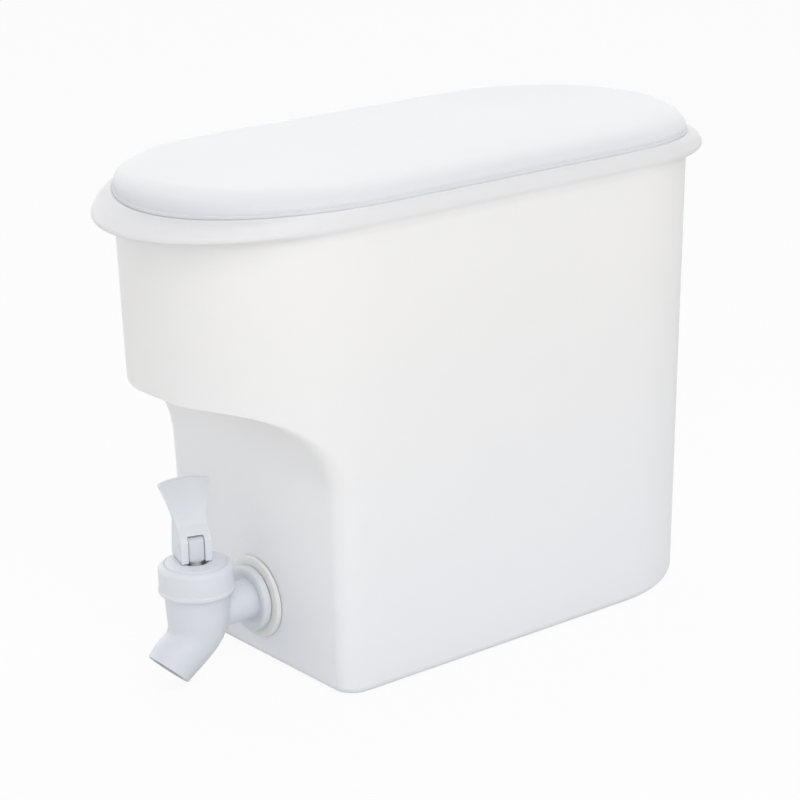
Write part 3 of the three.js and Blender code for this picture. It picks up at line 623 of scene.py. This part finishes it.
# The pipe to the wall. At its root it flares out by the fillet f (1 - sin p) onto the barrel's round
# side, y = sqrt(R^2 - x^2) with R the barrel's radius at that height, and f (1 - cos p) off it.
# The thread is a ridge that climbs one pitch a turn, as a smooth wave in y / pitch - v / 2 pi.
def inletRings():
    v = np.linspace(0, 2 * np.pi, tapColumns, endpoint=False)[None, :]
    p = np.radians(np.linspace(0, 90, 9))[:, None]
    flare = tap["inletRadius"] + tap["rootFillet"] * (1 - np.sin(p))
    seatOn = np.sqrt(barrelRadiusAt(flare * np.sin(v)) ** 2 - (flare * np.cos(v)) ** 2)
    root = np.stack([flare * np.cos(v), seatOn + tap["rootFillet"] * (1 - np.cos(p)), flare * np.sin(v)], -1)
    buried = root[:1].copy()
    buried[..., 1] -= tap["rootDepth"]
    face, r, f = tap["flangeFace"], tap["inletRadius"], tap["flangeRadius"]
    front, crest, threadStart = face - tap["flangeWidth"], tap["flangeCrest"], tap["threadStart"]
    pipe = roundedPath([(r, tap["pipeStart"]), (r, front + tap["flangeGroove"]), (crest, front),
                        (f, front + tap["flangeLean"]), (f, face), (r, face), (r, threadStart)],
                       [0.8, 1.2, 0.9, 0.8, 0.3])
    tail, bore = tap["tail"], tap["inletBore"]
    y = np.linspace(threadStart, tail - tap["tailEdge"], 90)[:, None]
    wave = 0.5 - 0.5 * np.cos(2 * np.pi * (y / tap["threadPitch"]) - v)
    fadeIn = np.clip((y - threadStart) / tap["threadIn"], 0, 1)
    fadeOut = np.clip((tail - tap["threadRest"] - y) / tap["threadOut"], 0, 1)
    radius = r - tap["threadDepth"] * wave * (fadeIn * fadeOut)
    thread = np.stack([radius * np.cos(v), y + 0 * v, radius * np.sin(v)], -1)
    end = roundedPath([(r, tail - tap["tailEdge"]), (r, tail), (bore, tail), (bore, tap["boreEnd"])],
                      [0.5, 0.4])
    pipe, end = [turned(profile, "y", (0, 0, 0), tapColumns) for profile in (pipe, end)]
    return np.concatenate([buried, root, pipe, thread, end])


def makeTapBody():
    skins = [skin(rings + tapCentre, wrap=True) for rings in (spoutRings(), inletRings())]
    piece = meshPiece("tapBody", skins)
    return finish(piece, "jug", "tap_plastic", finishes["tapPlastic"], "tap_body")


makeTapBody()

cap = {
    "foot": 9.4, "height": 10.8, "side": 13.7, "beadReach": 0.3, "beadHeight": 1.5, "beadSlope": 0.3,
    "bore": 11.55, "boreStart": 1, "topWall": 2.2, "topRound": 1.9, "groove": 0.3, "grooveSlope": 0.2,
    "pad": 11.0, "padSlope": 0.3, "padHeight": 0.5, "stemBore": 4.6,
}


# The cap is one profile, turned: up the skirt with its bead, over a quarter-circle edge, through a
# groove onto the raised pad and back down through the stem's hole.
def makeCap():
    foot, side, bore, stemBore = cap["foot"], cap["side"], cap["bore"], cap["stemBore"]
    top, bead, beadTop = foot + cap["height"], side + cap["beadReach"], foot + cap["beadHeight"]
    pad, padTop, edgeRound = cap["pad"], top + cap["padHeight"], cap["topRound"]
    groove, under = top - cap["groove"], top - cap["topWall"]
    below = roundedPath([
        (bore, foot + cap["boreStart"]), (bore, foot), (bead, foot), (bead, beadTop),
        (side, beadTop + cap["beadSlope"]), (side, top - edgeRound)], [0.3, 0.8, 0.25, 0.3], 9)
    out, up = arc(edgeRound, 0, 90, 12)
    edge = np.column_stack([side - edgeRound + out, top - edgeRound + up])
    above = roundedPath([
        (side - edgeRound, top), (side - edgeRound - cap["grooveSlope"], groove),
        (pad + cap["padSlope"], groove), (pad, padTop), (stemBore, padTop), (stemBore, under), (bore, under)],
        [0.12, 0.12, 0.3, 0.5, 0.3], 9)
    profile = np.concatenate([below, edge, above])
    piece = meshPiece("capShell", [skin(turned(profile, "z", tapCentre, 160), wrap=True)])
    return finish(piece, "jug", "tap_plastic", finishes["tapPlastic"], "tap_cap")


makeCap()

# A washer's bore stands washerGap off the pipe. Its profile starts and ends in the bore,
# washerSeam from the wall.
washerGap, washerSeam = 0.35, 0.4
washers = {
    "outerGasket": {"node": "outer_gasket", "radius": 15.6, "free": 24.8, "wall": 26.5, "round": 1.4},
    "innerGasket": {"node": "inner_gasket", "radius": 13.0, "free": 30.9, "wall": 28.9, "round": 0.6},
}


# A washer on the pipe: a rounded ring whose wall face leans with the tub's draft, y += -tan(draft) z.
def makeWasher(name, w):
    bore = tap["inletRadius"] + washerGap
    way = math.copysign(1, w["wall"] - w["free"])
    profile = roundedPath([(bore, w["wall"] - way * washerSeam), (bore, w["free"]), (w["radius"], w["free"]),
                           (w["radius"], w["wall"]), (bore, w["wall"])], [0.2, w["round"], 0.25], 10)
    rings = turned(profile, "y", (0, 0, 0), tapColumns)
    lean = np.clip((rings[..., 1] - w["free"]) / (w["wall"] - w["free"]), 0, 1)
    rings[..., 1] -= lean * rings[..., 2] * math.tan(math.radians(tub["draftDegrees"]))
    piece = meshPiece(name, [skin(rings + tapCentre, wrap=True)])
    return finish(piece, "jug", "silicone", finishes["siliconeRubber"], w["node"])


for washerName, washer in washers.items():
    makeWasher(washerName, washer)

nut = {
    "start": 31.2, "footWidth": 1.4, "footLift": 0.05, "footRadius": 13.0, "width": 7.0, "corner": 13.4,
    "bore": 7.75, "seam": 0.3, "chamfer": 0.9,
}


# The nut's side: the smaller of a hexagon's radius, apothem / cos(v mod 60 - 30), and the round of
# its chamfers.
def makeNut():
    v = np.linspace(0, 2 * np.pi, 180, endpoint=False)[None, :]
    apothem = nut["corner"] * math.cos(math.pi / 6)
    hexRadius = apothem / np.cos((v % (np.pi / 3)) - np.pi / 6)
    bore, start, corner, chamfer = nut["bore"], nut["start"], nut["corner"], nut["chamfer"]
    foot, end = start + nut["footWidth"], start + nut["width"]
    profile = roundedPath([(bore, start), (nut["footRadius"], start), (nut["footRadius"], foot),
                           (corner - chamfer, foot + nut["footLift"]), (corner, foot + chamfer),
                           (corner, end - chamfer), (corner - chamfer, end), (bore, end),
                           (bore, start + nut["seam"])],
                          [0.3, 0.2, 0.1, 0.2, 0.2, 0.2, 0.3], 5)
    radius, along = profile[:, :1], profile[:, 1:]
    radius = np.where(along > foot, np.minimum(radius, hexRadius), radius + 0 * v)
    rings = np.stack([radius * np.sin(v), along + 0 * v, radius * np.cos(v)], -1)
    piece = meshPiece("lockNut", [skin(rings + tapCentre, wrap=True)], 25)
    return finish(piece, "jug", "tap_plastic", finishes["tapPlastic"], "lock_nut")


makeNut()
print("tap made")

lever = {
    "pinHeight": 26.6, "turnDegrees": 73, "width": 11.6, "slotWidth": 6.2, "slotTop": 4.2, "heelDrop": 5.6,
    "front": -2.8, "back": 10.6, "camRadius": 8.0, "tiltDegrees": 30, "neckZ": 7.4, "neckFront": 2.2,
    "neckBack": 8.9, "neckRise": 1, "neckFrontIn": 1.4, "neckBackIn": 1.2, "bridgeFront": -1.28,
    "bridgeBack": 9.43, "overlap": 0.5, "topZ": 22.0, "topBack": 9.4, "topHalf": 10.3, "topThickness": 1.7,
    "cup": 3.4, "flarePower": 1.4, "cornerRound": 1.3, "pinHole": 1.4, "pinCut": 9, "grain": 0.22,
    "smoothing": 7,
}
pinCentre = tapCentre + np.array([0, 0, lever["pinHeight"]])


# Turns points from the lever's own frame, in which it faces -y, to where it is swivelled.
def swivelled(points):
    turn = math.radians(lever["turnDegrees"])
    cos, sin = math.cos(turn), math.sin(turn)
    x, y, z = points[..., 0], points[..., 1], points[..., 2]
    return np.stack([x * cos - y * sin, x * sin + y * cos, z], -1) + pinCentre


# A straight bar from x0 to x1 with the outline (y, z).
def prism(outline, x0, x1):
    outline = np.array(outline, float)
    rings = np.stack([np.column_stack([np.full(len(outline), x), outline]) for x in (x0, x1)])
    return skin(swivelled(rings))


# The neck's top, sunk into the paddle: back, up, across and down to its front.
neckRidge = lever["neckZ"] + lever["neckRise"]
neckTop = [(lever["neckBack"], lever["neckZ"]), (lever["neckBack"] - lever["neckBackIn"], neckRidge),
           (lever["neckFront"] + lever["neckFrontIn"], neckRidge), (lever["neckFront"], lever["neckZ"])]


# The heel seen from the side. Its curve is (d sin t + r cos t, -d cos t + r sin t) with
# d = drop + r t, so that it stays level with the cap while the lever tilts by t.
def heelOutline():
    t = np.radians(np.linspace(0, lever["tiltDegrees"], 16))
    r, drop = lever["camRadius"], lever["heelDrop"] + lever["camRadius"] * t
    curve = np.column_stack([drop * np.sin(t) + r * np.cos(t), -drop * np.cos(t) + r * np.sin(t)])
    curve = curve[curve[:, 0] < lever["back"]]
    slope = math.tan(math.radians(lever["tiltDegrees"]))
    corner = curve[-1] + (lever["back"] - curve[-1][0]) * np.array([1, slope])
    return np.concatenate([[(lever["front"], -lever["heelDrop"])], curve, [corner], neckTop,
                           [(lever["front"], -lever["front"])]])


# The paddle at share s of its height: half-width runs with s^power, its front is y = front +
# cup s (1 - q^2) across q, and its back lies a thickness behind that. Its upper corners are round.
def paddleRings():
    s = np.concatenate([np.linspace(-0.03, 0.9, 36), np.linspace(0.91, 1, 12)])[:, None]
    up = np.clip(s, 0, 1)
    q = np.linspace(-1, 1, 41)[None, :]
    halfWidth = lerp(lever["width"] / 2, lever["topHalf"], up ** lever["flarePower"])
    corner = lever["cornerRound"]
    short = np.clip(corner - (lever["topZ"] - lever["neckZ"]) * (1 - up), 0, corner)
    halfWidth = halfWidth - (corner - np.sqrt(corner**2 - short**2))
    z = lerp(lever["neckZ"], lever["topZ"], s) + 0 * q
    y = lerp(lever["neckFront"], lever["topBack"], up) + lever["cup"] * up * (1 - q**2)
    thickness = lerp(lever["neckBack"] - lever["neckFront"], lever["topThickness"], np.sqrt(up))
    front = np.stack([q * halfWidth, y, z], -1)
    back = np.stack([q * halfWidth, y + thickness, z], -1)
    return np.concatenate([front, back[:, ::-1]], 1)


# A profile turned about the pin's axis.
def pinSkin(profile):
    return skin(swivelled(turned(profile, "x", (0, 0, 0), 48)))


def pinCutter():
    radius, reach = lever["pinHole"], lever["pinCut"]
    return meshPiece("pinCutter", [pinSkin([(radius, -reach), (radius, reach)])])


# The fork's two legs, the bridge between them and the paddle are melted into one skin by a fine
# grid of cubes, which is then smoothed. The pin's hole is cut last.
def makeLever():
    half, slot = lever["width"] / 2, lever["slotWidth"] / 2
    outline, bridgeHalf = heelOutline(), slot + lever["overlap"]
    bridge = [(lever["bridgeFront"], lever["slotTop"]), (lever["bridgeBack"], lever["slotTop"]), *neckTop]
    piece = meshPiece("pushLever", [prism(outline, slot, half), prism(outline, -half, -slot),
                                    prism(bridge, -bridgeHalf, bridgeHalf), skin(swivelled(paddleRings()))])
    grain = piece.modifiers.new("grain", "REMESH")
    grain.mode, grain.voxel_size = "VOXEL", lever["grain"] * toMetres
    soften = piece.modifiers.new("soften", "SMOOTH")
    soften.factor, soften.iterations = 0.5, lever["smoothing"]
    bake(piece)
    cutAway(piece, pinCutter())
    return finish(piece, "lever", "tap_plastic", finishes["tapPlastic"], "lever")


makeLever()

stem = {
    "radius": 2.3, "bulb": 3.4, "bulbHeight": 2.4, "bulbEdge": 0.5, "bulbNeck": 0.2, "foot": -29.5,
    "footMiddle": 0.4, "shoulder": -5.2, "shoulderStart": 0.8, "headWidth": 6.0, "headDepth": 5.4,
    "headPower": 7, "domeRadius": 3.6,
}


# The stem's sections are superellipses |x/a|^n + |y/b|^n = 1, round in the rod (n = 2) and nearly
# square in the head (n = 7). The head's top is round about the pin, half-depth sqrt(R^2 - z^2), so
# that the fork turns freely over it.
def makeStem():
    a, b = stem["headWidth"] / 2, stem["headDepth"] / 2
    square, radius = stem["headPower"], stem["domeRadius"]
    foot, bulb, rod, shoulder = stem["foot"], stem["bulb"], stem["radius"], stem["shoulder"]
    edge, bulbTop = stem["bulbEdge"], foot + stem["bulbHeight"]
    rounds = [  # height, radius
        (foot, stem["footMiddle"]), (foot, bulb - edge), (foot + edge, bulb), (bulbTop - edge, bulb),
        (bulbTop, bulb - edge), (bulbTop + stem["bulbNeck"], rod), (shoulder - stem["shoulderStart"], rod)]
    table = [(z, r, r, 2) for z, r in rounds]  # height, half-width, half-depth, power
    table += [(shoulder + 0.1, a, b * 0.97, 5), (shoulder + 0.6, a, b, square), (0, a, b, square)]
    turn = np.arcsin(b / radius) * np.linspace(1, 0.06, 16)
    dome = np.stack([radius * np.cos(turn), a + 0 * turn, radius * np.sin(turn), square + 0 * turn], -1)
    rows = np.concatenate([roundedPath(table, 0.3, 5), dome])
    z, halfX, halfY, power = rows.T[..., None]
    v = np.linspace(0, 2 * np.pi, 72, endpoint=False)[None, :]
    x = halfX * np.sign(np.cos(v)) * np.abs(np.cos(v)) ** (2 / power)
    y = halfY * np.sign(np.sin(v)) * np.abs(np.sin(v)) ** (2 / power)
    piece = meshPiece("valveStem", [skin(swivelled(np.stack([x, y, z + 0 * v], -1)))])
    cutAway(piece, pinCutter())
    return finish(piece, "stem", "tap_plastic", finishes["stemPlastic"], "valve_stem")


makeStem()

pin = {"radius": 1.36, "half": 5.72, "round": 0.15, "middle": 0.02}


def makePin():
    half, r, middle = pin["half"], pin["radius"], pin["middle"]
    profile = roundedPath([(middle, -half), (r, -half), (r, half), (middle, half)], pin["round"], 4)
    piece = meshPiece("leverPin", [pinSkin(profile)])
    return finish(piece, "stem", "tap_plastic", finishes["tapPlastic"], "lever_pin")


makePin()

# The plug and the diaphragm have the right shape already and only get their finish.
for nodeName in ("valve_plug", "diaphragm"):
    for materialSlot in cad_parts[nodeName].material_slots:
        materialSlot.material = finishes["siliconeRubber"]
print("lever made")

# The camera that was fitted to the photograph, in degrees and metres, with its lens in millimetres.
# The nudge lines the picture up with the photograph.
view = {"azimuth": 51.682, "elevation": 17.970, "roll": -1.174, "distance": 0.966, "lens": 114.165,
        "target": (0, -0.007041, 0.085467), "nudge": 0.00019}


def makeCamera():
    az, el, roll = [math.radians(view[k]) for k in ("azimuth", "elevation", "roll")]
    back = Vector((math.sin(az) * math.cos(el), -math.cos(az) * math.cos(el), math.sin(el)))
    right = Vector((math.cos(az), math.sin(az), 0))
    up = back.cross(right)
    right, up = right * math.cos(roll) + up * math.sin(roll), up * math.cos(roll) - right * math.sin(roll)
    data = bpy.data.cameras.new("camera")
    data.sensor_width, data.lens = 36, view["lens"]
    data.clip_start, data.clip_end = 0.01, 20
    camera = bpy.data.objects.new("camera", data)
    place = Vector(view["target"]) - right * view["nudge"] + up * view["nudge"] + back * view["distance"]
    camera.matrix_world = Matrix.Translation(place) @ Matrix((right, up, back)).transposed().to_4x4()
    bpy.context.scene.collection.objects.link(camera)
    bpy.context.scene.camera = camera


makeCamera()

studio = {
    "floorSize": 6.0, "floorDrop": 0.0002, "floorWhite": 0.82, "cameraWhite": 0.92,
    "skyLevel": 1.31, "skySlope": (-0.65, 0.23, -0.97),  # brightness of the sky: level + slope . direction
    "lamps": {  # place, aim, size, power
        "key": ((1.027, -0.374, 1.382), (0, 0, 0.08), 1.2, 9.7),
        "front": ((1.224, -1.027, 0.661), (0, 0, 0.08), 1.2, 3.8),
        "side": ((1.573, -0.277, 0.661), (0, 0, 0.08), 1.2, 2.8),
    },
}


# Mixes the plain shader with a share of white where the camera looks at the studio itself.
def whiteForCamera(tree, share, plain, white, outKind):
    path = addNode(tree, "ShaderNodeLightPath")
    seen = addMath(tree, "MAXIMUM", path.outputs["Is Camera Ray"], path.outputs["Is Transmission Ray"])
    mix = addNode(tree, "ShaderNodeMixShader")
    tree.links.new(addMath(tree, "MULTIPLY", seen, share), mix.inputs[0])
    tree.links.new(plain.outputs[0], mix.inputs[1])
    tree.links.new(white.outputs[0], mix.inputs[2])
    tree.links.new(mix.outputs[0], addNode(tree, outKind).inputs["Surface"])


def makeFloor():
    half, z = studio["floorSize"] / 2, -studio["floorDrop"]
    corners = [(-half, -half, z), (half, -half, z), (half, half, z), (-half, half, z)]
    mesh = bpy.data.meshes.new("floor")
    mesh.from_pydata(corners, [], [(0, 1, 2, 3)])
    floor = bpy.data.objects.new("floor", mesh)
    bpy.context.scene.collection.objects.link(floor)
    material = bpy.data.materials.new("floorPaper")
    material.use_nodes = True
    tree = material.node_tree
    tree.nodes.clear()
    plain = addNode(tree, "ShaderNodeBsdfDiffuse")
    plain.inputs["Color"].default_value = (studio["floorWhite"],) * 3 + (1,)
    white = addNode(tree, "ShaderNodeEmission")
    whiteForCamera(tree, studio["cameraWhite"], plain, white, "ShaderNodeOutputMaterial")
    floor.data.materials.append(material)


def makeWorld():
    world = bpy.data.worlds.new("studioWorld")
    bpy.context.scene.world = world
    world.use_nodes = True
    tree = world.node_tree
    tree.nodes.clear()
    slope = addNode(tree, "ShaderNodeVectorMath", operation="DOT_PRODUCT")
    tree.links.new(addNode(tree, "ShaderNodeTexCoord").outputs["Generated"], slope.inputs[0])
    slope.inputs[1].default_value = studio["skySlope"]
    level = addMath(tree, "ADD", slope.outputs["Value"], studio["skyLevel"])
    soft, white = addNode(tree, "ShaderNodeBackground"), addNode(tree, "ShaderNodeBackground")
    for sky in (soft, white):
        sky.inputs["Color"].default_value = (1, 1, 1, 1)
        sky.inputs["Strength"].default_value = 1
    tree.links.new(level, soft.inputs["Strength"])
    whiteForCamera(tree, 1.0, soft, white, "ShaderNodeOutputWorld")


def makeLamps():
    for name, (place, aim, size, power) in studio["lamps"].items():
        data = bpy.data.lights.new(name, "AREA")
        data.shape, data.size, data.energy = "DISK", size, power
        lamp = bpy.data.objects.new(name, data)
        lamp.location = place
        lamp.rotation_euler = (Vector(place) - Vector(aim)).to_track_quat("Z", "Y").to_euler()
        bpy.context.scene.collection.objects.link(lamp)


makeFloor()
makeWorld()
makeLamps()
bpy.context.scene.view_settings.view_transform = "Standard"
print("camera, floor and light made")
